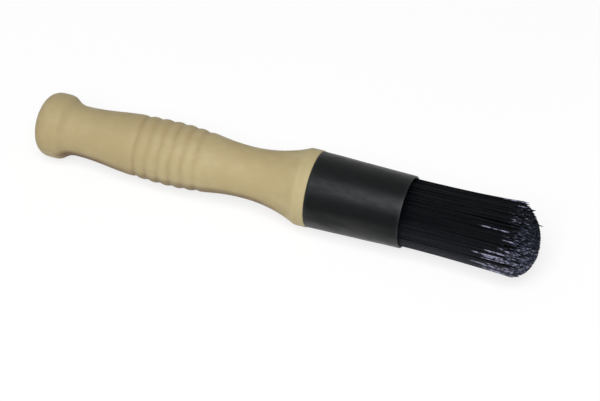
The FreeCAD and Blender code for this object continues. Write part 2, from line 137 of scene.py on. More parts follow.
# values from low to high eased into newLow to newHigh, and held at these outside
def remap(tree, value, low, high, newLow, newHigh):
    ends = {"Value": value, "From Min": low, "From Max": high, "To Min": newLow, "To Max": newHigh}
    return addNode(tree, "ShaderNodeMapRange", ends, interpolation_type="SMOOTHSTEP").outputs[0]


# one maths node: first, operation, second
def combine(tree, operation, first, second):
    return addNode(tree, "ShaderNodeMath", {0: first, 1: second}, operation=operation).outputs[0]


# a noise from 0 to 1 at a place, finer with more scale, rougher with more detail
def noiseValue(tree, vector, scale, detail=3.0):
    inputs = {"Vector": vector, "Scale": scale, "Detail": detail}
    return addNode(tree, "ShaderNodeTexNoise", inputs).outputs[0]


# an empty node group with named sockets, its inputs to read from and its outputs to link to
def newGroup(name, inputs, outputs):
    group = bpy.data.node_groups.new(name, "ShaderNodeTree")
    for label, kind in inputs.items():
        group.interface.new_socket(label, in_out="INPUT", socket_type="NodeSocket" + kind)
    for label, kind in outputs.items():
        group.interface.new_socket(label, in_out="OUTPUT", socket_type="NodeSocket" + kind)
    given = group.nodes.new("NodeGroupInput").outputs
    result = group.nodes.new("NodeGroupOutput").inputs
    return group, given, result


# the shapes of the noises that the shared effects are made of
effectLook = {
    "broadDetail": 4.0,
    "fineDetail": 2.0,
    "swellDetail": 1.0,
    "noiseEdges": (0.3, 0.7),  # the range that a noise mostly fills
    "cloudEdges": (0.35, 0.65),  # mottle: a tighter range, for clearer clouds
    "cloudShares": (0.7, 0.3),  # of its broad and its fine noise
    "fineScale": 7.0,  # how much finer the second noise is
    "swellScale": 0.08,  # skin: how much broader its swells are than its grain
    "swellHeight": 3.0,  # and how much higher
    "betweenPatches": 0.25,  # wear and painted light: the share that is left between its patches
}


# slow clouds of a second colour, and a roughness that drifts with them:
# cloud = eased(0.7 broad noise + 0.3 fine noise), roughness from low to high with the fine noise
def makeMottle(look):
    group, given, result = newGroup(
        "mottle",
        {"Vector": "Vector", "Colour": "Color", "Second": "Color", "Scale": "Float",
         "Low": "Float", "High": "Float"},
        {"Colour": "Color", "Roughness": "Float"},
    )
    fineScale = combine(group, "MULTIPLY", given["Scale"], look["fineScale"])
    broad = noiseValue(group, given["Vector"], given["Scale"], look["broadDetail"])
    fine = noiseValue(group, given["Vector"], fineScale, look["fineDetail"])
    broadShare, fineShare = look["cloudShares"]
    both = combine(group, "ADD", combine(group, "MULTIPLY", broad, broadShare),
                   combine(group, "MULTIPLY", fine, fineShare))
    cloud = remap(group, both, *look["cloudEdges"], 0.0, 1.0)
    drift = remap(group, fine, *look["noiseEdges"], given["Low"], given["High"])
    group.links.new(mixColour(group, cloud, given["Colour"], given["Second"]), result["Colour"])
    group.links.new(drift, result["Roughness"])
    return group


# fine pits and swells of a mould or a brushed coat as a normal: height = grain + 3 broad swells
def makeSkin(look):
    group, given, result = newGroup(
        "skin",
        {"Vector": "Vector", "Scale": "Float", "Depth": "Float"},
        {"Normal": "Vector"},
    )
    swellScale = combine(group, "MULTIPLY", given["Scale"], look["swellScale"])
    grain = noiseValue(group, given["Vector"], given["Scale"])
    swell = noiseValue(group, given["Vector"], swellScale, look["swellDetail"])
    height = combine(group, "ADD", grain, combine(group, "MULTIPLY", swell, look["swellHeight"]))
    bump = addNode(group, "ShaderNodeBump", {"Height": height, "Distance": given["Depth"]})
    group.links.new(bump.outputs[0], result["Normal"])
    return group


# a second colour, for wear and for painted shade, highlight and reflection, whose share is
# mask x patches x amount, the patches an eased noise
def makeWearAndPaintedLight(look):
    group, given, result = newGroup(
        "wearAndPaintedLight",
        {"Vector": "Vector", "Colour": "Color", "Patched": "Color", "Mask": "Float",
         "Scale": "Float", "Amount": "Float"},
        {"Colour": "Color"},
    )
    noise = noiseValue(group, given["Vector"], given["Scale"], look["broadDetail"])
    patches = remap(group, noise, *look["noiseEdges"], look["betweenPatches"], 1.0)
    masked = combine(group, "MULTIPLY", given["Mask"], patches)
    share = combine(group, "MULTIPLY", masked, given["Amount"])
    group.links.new(mixColour(group, share, given["Colour"], given["Patched"]), result["Colour"])
    return group


mottleGroup = makeMottle(effectLook)
skinGroup = makeSkin(effectLook)
wearAndPaintedLightGroup = makeWearAndPaintedLight(effectLook)
print("shared effects built")


# a shared effect placed in a material with the material's own values
def useGroup(tree, group, inputs):
    return addNode(tree, "ShaderNodeGroup", inputs, node_tree=group).outputs


# a material with what is the same all over it set on the shader itself
def newMaterial(name, constants):
    material = bpy.data.materials.new(name)
    material.use_nodes = True
    tree = material.node_tree
    shader = tree.nodes["Principled BSDF"]
    for socket, value in constants.items():
        shader.inputs[socket].default_value = value
    return material, tree, shader


# a point's place on the piece times stretch, which is under 1 where a pattern is drawn out
def objectVector(tree, stretch=(1, 1, 1)):
    place = addNode(tree, "ShaderNodeTexCoord").outputs["Object"]
    return addNode(tree, "ShaderNodeMapping", {"Vector": place, "Scale": stretch}).outputs[0]


# the value of that name that the mesh has at each point
def attributeValue(tree, name):
    return addNode(tree, "ShaderNodeAttribute", attribute_name=name).outputs["Fac"]


# mottled colour and roughness with a fine skin, the base of every solid finish
def mouldedFinish(name, finish):
    material, tree, shader = newMaterial(name, finish["shader"])
    vector = objectVector(tree, finish.get("stretch", (1, 1, 1)))
    low, high = finish["roughness"]
    cloud = useGroup(tree, mottleGroup, {
        "Vector": vector, "Colour": paint(*finish["colour"]), "Second": paint(*finish["second"]),
        "Scale": finish["cloudScale"], "Low": low, "High": high,
    })
    skin = useGroup(tree, skinGroup, {
        "Vector": vector, "Scale": finish["skinScale"], "Depth": finish["skinDepth"],
    })
    tree.links.new(cloud["Colour"], shader.inputs["Base Color"])
    tree.links.new(cloud["Roughness"], shader.inputs["Roughness"])
    tree.links.new(skin["Normal"], shader.inputs["Normal"])
    return material, tree, shader, vector, cloud["Colour"]


# the effect of wear and painted light over a colour, where the mesh's attribute of that name is
# high
def patchedColour(tree, vector, colour, attribute, wearAndPaintedLight):
    return useGroup(tree, wearAndPaintedLightGroup, {
        "Vector": vector, "Colour": colour, "Patched": paint(*wearAndPaintedLight["colour"]),
        "Mask": attributeValue(tree, attribute), "Scale": wearAndPaintedLight["scale"], "Amount": wearAndPaintedLight["amount"],
    })["Colour"]


# a smooth-shaded mesh with its values per point, riding on the brush's one body
def buildPiece(name, points, faces, material, attributes):
    mesh = bpy.data.meshes.new(name)
    mesh.from_pydata(points, [], faces)
    mesh.shade_smooth()
    for label, values in attributes.items():
        layer = mesh.attributes.new(label, "FLOAT", "POINT")
        layer.data.foreach_set("value", np.asarray(values, np.float32))
    mesh.materials.append(material)
    piece = bpy.data.objects.new(name, mesh)
    bpy.context.scene.collection.objects.link(piece)
    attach(piece, "root")
    print("made", name, len(mesh.vertices), "points", len(mesh.polygons), "faces")
    return piece


# station x and radius, the root of y squared + z squared, of every point of a turned CAD node
def cadPoints(node):
    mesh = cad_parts[node].data
    points = np.zeros(len(mesh.vertices) * 3)
    mesh.vertices.foreach_get("co", points)
    points = points.reshape(-1, 3)
    return np.stack([points[:, 0], np.hypot(points[:, 1], points[:, 2])], axis=1)


# outline of a turned CAD node with no bore, from its first face to its last: the points in order
# of station, and at one station outwards where its mean radius is more than the radius before
def cadOutline(node):
    outline = np.unique(cadPoints(node).round(5), axis=0)  # to a hundredth of a mm
    ordered = [outline[0]]
    for station in np.unique(outline[:, 0]):
        step = outline[outline[:, 0] == station]
        ordered.extend(step if ordered[-1][1] < step[:, 1].mean() else step[::-1])
    return np.array(ordered[1:])


# largest radius of a CAD node between two stations
def cadRadius(node, start, end):
    points = cadPoints(node)
    return points[(points[:, 0] > start) & (points[:, 0] < end), 1].max()


# a smooth curve through the points of one run: the cubic between neighbours p and q,
# (2u3 - 3u2 + 1) p + (u3 - 2u2 + u) slope at p + (3u2 - 2u3) q + (u3 - u2) slope at q,
# where u goes from 0 to 1 and each slope is the mean of the slopes on its two sides
def throughPoints(run, spacing):
    if len(run) < 3:
        return run
    reach = np.concatenate([[0], np.cumsum(np.linalg.norm(np.diff(run, axis=0), axis=1))])
    slope = np.gradient(run, reach, axis=0)
    wanted = np.linspace(0, reach[-1], max(int(reach[-1] / spacing), len(run)) + 1)
    left = np.clip(np.searchsorted(reach, wanted, side="right") - 1, 0, len(run) - 2)
    span = (reach[left + 1] - reach[left])[:, None]
    u = (wanted[:, None] - reach[left][:, None]) / span
    return (
        (2 * u**3 - 3 * u**2 + 1) * run[left]
        + (u**3 - 2 * u**2 + u) * span * slope[left]
        + (3 * u**2 - 2 * u**3) * run[left + 1]
        + (u**3 - u**2) * span * slope[left + 1]
    )


# the outline cut where it turns by more than the corner angle, each run made smooth, and joined
def smoothOutline(outline, cornerAngle, spacing):
    step = np.diff(outline, axis=0)
    heading = np.arctan2(step[:, 1], step[:, 0])
    turn = np.abs((np.diff(heading) + math.pi) % fullTurn - math.pi)
    corners = np.flatnonzero(turn > math.radians(cornerAngle)) + 1
    ends = [0, *corners, len(outline) - 1]
    runs = [throughPoints(outline[a:b + 1], spacing) for a, b in zip(ends, ends[1:])]
    return np.concatenate([runs[0]] + [run[1:] for run in runs[1:]])


# quads between neighbouring rows of a grid whose rows are closed rings of the given sides
def ringQuads(row, nextRow, sides):
    side = np.arange(sides)
    nextSide = (side + 1) % sides
    corners = [row + side, row + nextSide, nextRow + nextSide, nextRow + side]
    return np.stack(corners, axis=-1).reshape(-1, 4).tolist()


# the profile swept round the X axis: (x, r) goes to (x, r cos a, r sin a), a round the full turn,
# closed by a flat face at each end, or by joining the last row to the first
def latheSurface(profile, sides, closedRing=False):
    angles = np.arange(sides) * fullTurn / sides
    rows = len(profile)
    x = np.repeat(profile[:, 0], sides)
    y = np.outer(profile[:, 1], np.cos(angles)).ravel()
    z = np.outer(profile[:, 1], np.sin(angles)).ravel()
    row = np.arange(rows if closedRing else rows - 1)[:, None] * sides
    faces = ringQuads(row, (row + sides) % (rows * sides), sides)
    if not closedRing:
        faces += [list(range(sides))[::-1], list(range((rows - 1) * sides, rows * sides))]
    return np.stack([x, y, z], axis=1), faces


# straight from 0 at the start to 1 at the end, and flat outside
def ramp(value, start, end):
    return np.clip((value - start) / (end - start), 0, 1)


# how much an angle round the axis faces a side given in degrees: the cosine of the gap
def facing(angle, side):
    return np.cos(angle - math.radians(side))


# each value turned into the mean of an odd number of neighbours, weighted by a raised cosine
def bellAverage(values, neighbours):
    window = np.hanning(neighbours)
    return np.convolve(np.pad(values, neighbours // 2, "edge"), window / window.sum(), "valid")


# unevenness left by a mould: the ripple's height x the mean of its waves, each of them
# sin(2 pi x / length + lobes a + phase) at station x and angle a
def mouldRipple(x, angle, look):
    waves = [
        np.sin(x / (length * mm) * fullTurn + lobes * angle + phase)
        for length, lobes, phase in look["waves"]
    ]
    return look["ripple"] * np.mean(waves, axis=0)


# handle: moulded grip with six grooves, knob at the butt and flared shoulder
handleLook = {
    "sides": 96,
    "spacing": 0.45 * mm,
    "cornerAngle": 30,  # degrees, a sharper turn of the outline stays a corner
    "ripple": 0.025 * mm,
    "waves": ((61, 1, 0.4), (37, -2, 2.1), (23, 3, 4.0)),  # length in mm, lobes, phase
    "rippleCore": 4 * mm,  # nearer to the axis the ripple fades
    # the knob and the grooves: from, to, and how wide the softening is
    "softRuns": ((4.5 * mm, 24 * mm, 4 * mm), (54 * mm, 102 * mm, 2.4 * mm)),
    "creaseDepth": 0.35 * mm,  # how far above its surroundings the painted highlight is full, and below them the painted shade
    "creaseStep": 0.25 * mm,  # how closely the outline is read for that
    "creaseSpan": 33,  # and how many such steps its surroundings are
    "gripFrom": (26 * mm, 32 * mm),  # where the painted groove shade and crest highlight start, and where they are full
    "gripEnd": 2 * mm,  # and how far before the sleeve they stop
    # painted shade in the groove valleys, and a painted highlight on the crests
    "grooveShade": {"colour": (130, 108, 72), "scale": 90.0, "amount": 0.5},
    "crestHighlight": {"colour": (181, 169, 132), "scale": 60.0, "amount": 0.45},
    "paleBand": {"colour": (184, 184, 156), "scale": 50.0, "amount": 0.2},  # a paler, greyer band next to the sleeve
    "paleBandReach": 3.5 * mm,  # how far from the sleeve the pale band goes
    # painted shade on the underside it lies on, and a faint darkening all round near the butt
    "underShadeAndDarkening": (98, 76, 50),
    "shadedSide": -125,  # degrees round the axis, the side it lies on, darkened by painted shade
    "shadedEdges": (0.68, 0.90),  # cosine off that side where the painted shade starts, and where it is full
    # mm from the butt and share of painted shade there on that side, and of the darkening all
    # round
    "shadedAlong": ((12, 0), (18, 0.9), (34, 0.85), (50, 0.5), (92, 0.7), (118, 0.8), (134, 0)),
    "darkeningAlong": ((20, 0.1), (110, 0)),
    "colour": (173, 159, 120),
    "second": (166, 150, 111),
    "cloudScale": 28.0,
    "roughness": (0.46, 0.60),
    "skinScale": 1900.0,
    "skinDepth": 0.012 * mm,
    "shader": {"Specular IOR Level": 0.2, "IOR": 1.49},
}


# the moulded finish, then painted shade in the creases, a painted highlight on the crests,
# painted shade underneath with a faint darkening all round, and a pale band next to the sleeve
def handleMaterial(look):
    material, tree, shader, vector, colour = mouldedFinish("handlePlastic", look)
    # painted shade in the groove valleys, then a painted highlight on the crests
    colour = patchedColour(tree, vector, colour, "crevice", look["grooveShade"])
    colour = patchedColour(tree, vector, colour, "crest", look["crestHighlight"])
    # painted shade underneath, and a faint darkening all round
    colour = mixColour(tree, attributeValue(tree, "underShadeAndDarkening"), colour, paint(*look["underShadeAndDarkening"]))
    # a paler, greyer band next to the sleeve
    colour = patchedColour(tree, vector, colour, "paleBand", look["paleBand"])
    tree.links.new(colour, shader.inputs["Base Color"])
    return material


# the radius between two stations averaged over a window of the given width, so that a mould's
# edges look worn: new radius = radius + (average - radius) x fade, 0 at the run's ends
def softenRun(profile, start, end, width, samples=800):
    inside = (profile[:, 0] > start) & (profile[:, 0] < end)
    fine = np.linspace(start - width, end + width, samples)
    radius = np.interp(fine, profile[:, 0], profile[:, 1])
    soft = bellAverage(radius, 2 * int(width / (fine[1] - fine[0]) / 2) + 1)
    fade = np.clip(np.minimum(profile[:, 0] - start, end - profile[:, 0]) / width, 0, 1)
    change = np.interp(profile[:, 0], fine, soft - radius) * fade
    result = profile.copy()
    result[inside, 1] += change[inside]
    return result


# how far the outline stands above its own average at each x, as a share of the crease depth
def standingOut(profile, x, look):
    stations = np.arange(0, profile[:, 0].max(), look["creaseStep"])
    outline = np.interp(stations, profile[:, 0], profile[:, 1])
    above = outline - bellAverage(outline, look["creaseSpan"])
    return np.interp(x, stations, above) / look["creaseDepth"]


# share of painted shade: (3 s2 - 2 s3) x its strength along the handle, s the ramp towards the
# side it lies on, plus a faint darkening all round
def underShadeShare(x, angle, look):
    towards = ramp(facing(angle, look["shadedSide"]), *look["shadedEdges"])
    shadedStation, shadedShare = np.transpose(look["shadedAlong"])
    darkeningStation, darkeningShare = np.transpose(look["darkeningAlong"])
    undersideShade = towards**2 * (3 - 2 * towards) * np.interp(x, shadedStation * mm, shadedShare)
    return undersideShade + np.interp(x, darkeningStation * mm, darkeningShare)


# radius at station x and angle a: the smoothed outline's radius plus the mould's ripple
def makeHandle(look):
    profile = smoothOutline(cadOutline("handle"), look["cornerAngle"], look["spacing"])
    for start, end, width in look["softRuns"]:
        profile = softenRun(profile, start, end, width)
    points, faces = latheSurface(profile, look["sides"])
    x, angle = points[:, 0], np.arctan2(points[:, 2], points[:, 1])
    radius = np.hypot(points[:, 1], points[:, 2])
    grow = 1 + mouldRipple(x, angle, look) / np.maximum(radius, look["rippleCore"])
    points[:, 1:] *= grow[:, None]
    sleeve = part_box("ferrule")[0].x
    standing = standingOut(profile, x, look)
    grip = ramp(x, *look["gripFrom"]) * (x < sleeve - look["gripEnd"])
    return buildPiece("handleGrip", points, faces, handleMaterial(look), {
        "crevice": np.clip(-standing, 0, 1) * grip,
        "crest": np.clip(standing, 0, 1) * grip,
        "underShadeAndDarkening": underShadeShare(x, angle, look),
        "paleBand": ramp(x, sleeve - look["paleBandReach"], sleeve),
    })


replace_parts(makeHandle(handleLook), "handle")


# ferrule: thin tapered sleeve with rounded rims
ferruleLook = {
    "sides": 128,
    "outerRows": 60,
    "innerRows": 12,
    "cornerRows": 5,
    "wall": 1.0 * mm,
    "rimRound": 0.35 * mm,
    "measureOver": 1.0 * mm,  # its radii are read this near to the rims of the CAD sleeve
    "ripple": 0.03 * mm,
    "waves": ((31, 3, 0), (-19, 2, 0)),  # length in mm, lobes, phase
    "scuff": {"colour": (44, 45, 47), "scale": 240.0, "amount": 0.7},
    "scuffReach": 1.6 * mm,  # how far from the rims the scuffs go
    # painted reflection of the floor: the underside of the sleeve lighter in patches
    "floorReflection": {"colour": (53, 53, 54), "scale": 160.0, "amount": 1.0},
    "floorReflectionSide": -131,  # degrees round the axis, the lower side, lightened by a painted floor reflection
    "floorReflectionEdges": (0.4, 0.9),  # cosine off that side where it starts, and where it is full
    "floorReflectionAlong": (1.1, 0.8),  # its strength at the rear rim and at the front
    "frontGloss": 0.05,  # roughness lost towards the front rim, where the sleeve is handled
    "colour": (5, 5, 5),
    "second": (3, 3, 3),
    "cloudScale": 70.0,
    "roughness": (0.34, 0.47),
    "skinScale": 900.0,
    "skinDepth": 0.012 * mm,
    "stretch": (0.35, 1, 1),  # marks run along the sleeve
    "shader": {
        "Specular IOR Level": 0.14, "IOR": 1.49, "Specular Tint": (0.94, 1.0, 1.04, 1.0),
    },
}


# the moulded finish with scuffed rims and a painted floor reflection lightening the underside,
# and roughness = drifting roughness - front gloss x share of the way to the front
def ferruleMaterial(look):
    material, tree, shader, vector, colour = mouldedFinish("ferrulePlastic", look)
    colour = patchedColour(tree, vector, colour, "rim", look["scuff"])
    # painted floor reflection on the underside
    colour = patchedColour(tree, vector, colour, "floorReflection", look["floorReflection"])
    tree.links.new(colour, shader.inputs["Base Color"])
    drifting = shader.inputs["Roughness"].links[0].from_socket
    gloss = combine(tree, "MULTIPLY", attributeValue(tree, "along"), look["frontGloss"])
    tree.links.new(combine(tree, "SUBTRACT", drifting, gloss), shader.inputs["Roughness"])
    return material


# a corner of the section rounded by a quarter circle: centre + radius (cos a, sin a), with the
# centre one radius in from the corner both ways
def roundCorner(corner, alongX, alongR, radius, steps):
    centre = np.array(corner) + radius * np.array([alongX, alongR])
    start, end = math.atan2(0, -alongX), math.atan2(-alongR, 0)
    sweep = (end - start + math.pi) % fullTurn - math.pi
    angles = start + sweep * np.linspace(0, 1, steps)
    return centre + radius * np.stack([np.cos(angles), np.sin(angles)], axis=1)


# outer line from the rear rim to the front, back along the inner wall, every corner rounded
def ferruleSection(rear, front, rearRadius, frontRadius, look):
    wall, bend, steps = look["wall"], look["rimRound"], look["cornerRows"]
    outerEnds = (rear + bend, rearRadius), (front - bend, frontRadius)
    innerEnds = (front - bend, frontRadius - wall), (rear + bend, rearRadius - wall)
    return np.concatenate([
        roundCorner((rear, rearRadius), 1, -1, bend, steps)[:-1],
        np.linspace(*outerEnds, look["outerRows"]),
        roundCorner((front, frontRadius), -1, -1, bend, steps)[::-1][1:],
        roundCorner((front, frontRadius - wall), -1, 1, bend, steps)[:-1],
        np.linspace(*innerEnds, look["innerRows"]),
        roundCorner((rear, rearRadius - wall), 1, 1, bend, steps)[::-1][1:],
    ])


# the section swept round the axis, each radius grown by the mould's ripple
def makeFerrule(look):
    low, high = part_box("ferrule")
    rear, front = low.x, high.x
    rearRadius = cadRadius("ferrule", rear, rear + look["measureOver"])
    frontRadius = cadRadius("ferrule", front - look["measureOver"], front)
    section = ferruleSection(rear, front, rearRadius, frontRadius, look)
    points, faces = latheSurface(section, look["sides"], closedRing=True)
    x, angle = points[:, 0], np.arctan2(points[:, 2], points[:, 1])
    points[:, 1:] *= (1 + mouldRipple(x, angle, look) / rearRadius)[:, None]
    along = (x - rear) / (front - rear)
    reflectionRear, reflectionFront = look["floorReflectionAlong"]
    # painted floor reflection: a ramp towards the lower side
    floorReflection = ramp(facing(angle, look["floorReflectionSide"]), *look["floorReflectionEdges"])
    return buildPiece("ferruleSleeve", points, faces, ferruleMaterial(look), {
        "rim": ramp(np.minimum(x - rear, front - x), look["scuffReach"], 0),
        "along": along,
        "floorReflection": floorReflection * (reflectionRear + (reflectionFront - reflectionRear) * along),
    })


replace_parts(makeFerrule(ferruleLook), "ferrule")


# bristles: round nylon filaments, opened towards a domed trim and parted into clumps
bristleLook = {
    "seed": 7,
    "count": 2700,
    "thickness": 0.5 * mm,
    "sides": 5,
    "rings": 7,
    "lastRing": 0.985,  # share of the length where the last full ring is
    "cutWidth": 0.5,  # width of the cut end as a share of the thickness
    "seated": 4.6 * mm,  # how far inside the sleeve's mouth the roots start
    "rootScatter": 0.12 * mm,
    "measureOver": 20 * mm,  # the pack's radius is read from the CAD up to this far past the mouth
    "straightShare": 0.25,
    "openingPower": 1.4,
    "tipRadius": 17.5 * mm,
    "dome": 13.0 * mm,
    "trimLean": (-0.068, -0.08),  # the trim is a little longer on one side, mm per mm
    # a longer corner: angle round the axis and width in degrees, reach, and how near the rim it is
    "tuft": {"angle": 48, "width": 11, "reach": 2.0 * mm, "rimPower": 6},
    "sag": 0.4 * mm,
    "unevenness": 1.3 * mm,
    "bigClump": 6.5 * mm,
    "bigPull": 0.16,
    "smallClump": 2.3 * mm,
    "smallPull": 0.36,
    "smallScatter": 0.2,  # unevenness of the small clumps' places, as a share of their size
    "clumpsOver": (1.1, 1.05),  # how far past the tips the big and the small clumps are laid out
    "lean": 0.28 * mm,
    "waveHeight": 0.10 * mm,
    "waveTurn": (3, 8),  # radians that a filament's own wave turns over its length
    # angle round the axis, share of the radius, mm beyond the trim
    "strays": (
        (41, 1.0, 0.5), (44, 1.02, 0.9), (47, 1.03, 1.0), (50, 1.02, 0.8), (53, 1.01, 0.9),
        (57, 0.99, 0.7), (39, 0.87, 2.2), (36, 0.85, 1.4), (21, 0.55, 2.4), (-110, 0.93, 1.2),
        (-128, 0.97, 0.9),
    ),
    "colour": (3, 4, 7),
    "second": (8, 10, 14),
    "roughness": (0.3, 0.5),
    # painted bluish sheen on the cut ends, stronger towards the glint side
    "cutEndSheen": (74, 80, 98),
    "cutFrom": 0.97,  # share of the length where the cut end's colour starts
    "cutAmount": 0.8,
    "cutSheen": (0.55, 0.75, 0.12),  # its share in the middle, gained towards the glint side, and least
    # painted reflection of the floor, lightening the filaments along the lower rim
    "lowerRimReflectionColour": (53, 54, 60),
    "lowerRimSide": -131,  # degrees round the axis
    "lowerRimEdges": (0.72, 0.92),  # cosine off that side where the painted reflection starts, and where it is full
    "faintReflection": 0.22,  # share of a fainter painted reflection round it
    "faintReflectionEdges": (0.1, 0.6),
    "lowerRimReach": (0.9, 0.96),  # share of the radius where the painted reflection starts, and where it is full
    # painted glints: filaments turn pale towards their tips, more on the glint side
    "pale": (156, 158, 182),
    "paleFade": 0.06,  # share of the length over which a filament turns pale
    "speckScale": 520.0,
    "speckEdges": (0.42, 0.58),
    "speckLow": 0.12,  # share of pale that is left between the specks
    "glintSide": -164,  # degrees round the axis, the side with the most painted glints
    "glintEdges": (0.5, 1.0),  # cosine off that side where the glint bias starts, and where it is full
    "paleShare": (0.17, 0.50),  # share of filaments with painted glints, and what the glint side adds to it
    "paleFrom": 0.985,  # share of the length where the shortest of them turn pale
    "paleLength": (0.045, 0.24),  # others start earlier by up to this, and by more on the glint side
    "paleTone": (0.35, 1.0),
    "paleUnderReflection": 0.6,  # share of pale that the painted reflection hides
    "neverPale": 1.2,  # a start past the tip
    # single filaments with painted glints: angle round the axis, and the share of the length where
    # they turn pale
    "paleStrands": (
        (48, 0.78), (51, 0.74), (54, 0.80), (57, 0.76), (61, 0.83), (100, 0.93), (126, 0.72),
        (141, 0.86), (144, 0.90), (158, 0.83), (166, 0.73), (169, 0.79), (172, 0.82), (174, 0.69),
        (177, 0.78), (179, 0.74), (182, 0.68), (184, 0.77), (186, 0.72), (189, 0.70), (191, 0.75),
        (194, 0.77), (197, 0.63), (202, 0.70), (208, 0.78), (214, 0.86), (220, 0.82),
    ),
    "strandsEach": 2,  # filaments that turn pale at each of these angles
    "strandsRim": 0.975,  # share of the radius beyond which they are looked for
    "strandScatter": 0.03,
    "strandTone": (0.75, 1.0),
    "shader": {"Specular IOR Level": 0.05, "IOR": 1.53},
}


# hexagonal grid of the given pitch inside a circle: rows pitch x root 3 / 2 apart, every other
# row moved by half a pitch
def hexGrid(pitch, radius):
    most = int(radius / pitch * 1.2) + 1  # rows lie closer together than the pitch
    rows = np.arange(-most, most + 1)
    column, row = np.meshgrid(rows, rows)
    grid = np.stack([(column + (row % 2) / 2) * pitch, row * pitch * math.sqrt(3) / 2], axis=-1)
    grid = grid.reshape(-1, 2)
    return grid[np.hypot(grid[:, 0], grid[:, 1]) < radius]


# for each point, the centre with the smallest distance to it
def nearest(points, centres):
    gaps = np.linalg.norm(points[:, None, :] - centres[None, :, :], axis=2)
    return centres[gaps.argmin(axis=1)]


# black between two tones, a painted floor reflection on the lower rim, a painted bluish sheen
# on the cut ends, and painted glints past each filament's own start, broken into specks
def bristleMaterial(look):
    material, tree, shader = newMaterial("filamentNylon", look["shader"])
    along, tone, glintStart, shade, lowerRimReflection, cutSheenShare = (
        attributeValue(tree, name) for name in ("along", "tone", "glintStart", "shade", "lowerRimReflection", "cutSheenShare")
    )
    body = mixColour(tree, tone, paint(*look["colour"]), paint(*look["second"]))
    # painted floor reflection on the lower rim
    body = mixColour(tree, lowerRimReflection, body, paint(*look["lowerRimReflectionColour"]))
    # painted sheen on the cut ends
    cut = remap(tree, along, look["cutFrom"], 1.0, 0.0, look["cutAmount"])
    ended = combine(tree, "MULTIPLY", combine(tree, "MULTIPLY", cut, tone), cutSheenShare)
    body = mixColour(tree, ended, body, paint(*look["cutEndSheen"]))
    # painted glints past each filament's own start
    reach = combine(tree, "SUBTRACT", along, glintStart)
    tipped = remap(tree, reach, 0.0, look["paleFade"], 0.0, 1.0)
    noise = noiseValue(tree, objectVector(tree), look["speckScale"], effectLook["fineDetail"])
    speck = remap(tree, noise, *look["speckEdges"], look["speckLow"], 1.0)
    share = combine(tree, "MULTIPLY", combine(tree, "MULTIPLY", tipped, speck), shade)
    tree.links.new(mixColour(tree, share, body, paint(*look["pale"])), shader.inputs["Base Color"])
    rough = remap(tree, tone, 0.0, 1.0, *look["roughness"])
    tree.links.new(rough, shader.inputs["Roughness"])
    return material


# the roots fill the bundle evenly: radius = reach x root of i / count, each turned by the golden
# angle from the one before, then scattered a little and kept inside
def filamentRoots(look, chance, reach):
    spiral = np.arange(look["count"]) + 0.5
    radius = reach * np.sqrt(spiral / look["count"])
    angle = spiral * math.pi * (3 - math.sqrt(5))
    foot = np.stack([radius * np.cos(angle), radius * np.sin(angle)], axis=1)
    foot += chance.normal(0, look["rootScatter"], foot.shape)
    return foot * np.minimum(1, reach / np.hypot(foot[:, 0], foot[:, 1]))[:, None]


# the tips open with the roots, drawn towards the middles of big and small clumps, and end on a
# dome: apex - dome x (1 - root of 1 - r squared) + lean of the trim, shortened by chance squared,
# with a bell-shaped tuft at one corner and the strays put where they are listed
def filamentTips(look, chance, opened, tipReach, apex):
    bigOver, smallOver = look["clumpsOver"]
    bigMiddle = nearest(opened, hexGrid(look["bigClump"], tipReach * bigOver))
    small = hexGrid(look["smallClump"], tipReach * smallOver)
    small = small + chance.normal(0, look["smallClump"] * look["smallScatter"], small.shape)
    smallMiddle = nearest(opened, small)
    place = (
        opened
        + (bigMiddle - opened) * look["bigPull"]
        + (smallMiddle - opened) * look["smallPull"]
        + chance.normal(0, look["lean"], opened.shape)
    )
    outward = np.minimum(np.hypot(place[:, 0], place[:, 1]) / look["tipRadius"], 1)
    drop = look["dome"] * (1 - np.sqrt(1 - outward**2)) - place @ np.array(look["trimLean"])
    station = apex - drop - chance.uniform(0, 1, len(opened)) ** 2 * look["unevenness"]
    tuft = look["tuft"]
    aside = np.degrees(np.arctan2(place[:, 1], place[:, 0])) - tuft["angle"]
    longer = np.exp(-(aside / tuft["width"]) ** 2) * outward ** tuft["rimPower"]
    station += tuft["reach"] * longer
    place[:, 1] -= look["sag"]
    for strayAngle, share, extra in look["strays"]:
        a = math.radians(strayAngle)
        aim = share * tipReach * np.array([math.cos(a), math.sin(a)])
        i = np.linalg.norm(place - aim, axis=1).argmin()
        place[i], station[i] = aim, station[i] + extra * mm
    return np.column_stack([station, place])


# each filament is a tube about the path p(u) = root + (tip - root) s(u) + wave u sin(k u + c),
# where s(u) is 0 over the straight share and then ((u - straight) / (1 - straight)) to a power
def filamentTubes(root, tip, wave, look):
    rings, sides, count = look["rings"], look["sides"], len(root)
    u = np.concatenate([np.linspace(0, look["lastRing"], rings - 1), [1.0]])
    ease = ramp(u, look["straightShare"], 1) ** look["openingPower"]
    along = root[:, None, 0] + (tip[:, 0] - root[:, 0])[:, None] * u
    across = root[:, None, 1:] + (tip - root)[:, None, 1:] * ease[None, :, None]
    bend = np.sin(u[None, :, None] * wave[:, None, 2:3] + wave[:, None, 3:4])
    across = across + wave[:, None, 0:2] * bend * u[None, :, None]
    angles = np.arange(sides) * fullTurn / sides
    width = look["thickness"] / 2 * np.where(u < 1, 1.0, look["cutWidth"])
    circle = np.stack([np.cos(angles), np.sin(angles)], axis=1)
    ring = across[:, :, None, :] + circle[None, None, :, :] * width[None, :, None, None]
    stations = np.repeat(along[:, :, None], sides, axis=2)[..., None]
    points = np.concatenate([stations, ring], axis=-1).reshape(-1, 3)

    strand = np.arange(count)[:, None] * rings * sides
    row = (strand + np.arange(rings - 1) * sides)[:, :, None]
    quads = ringQuads(row, row + sides, sides)
    tipFaces = (strand + (rings - 1) * sides + np.arange(sides)).tolist()
    rootFaces = (strand + np.arange(sides)[::-1]).tolist()
    return points, quads + tipFaces + rootFaces, u
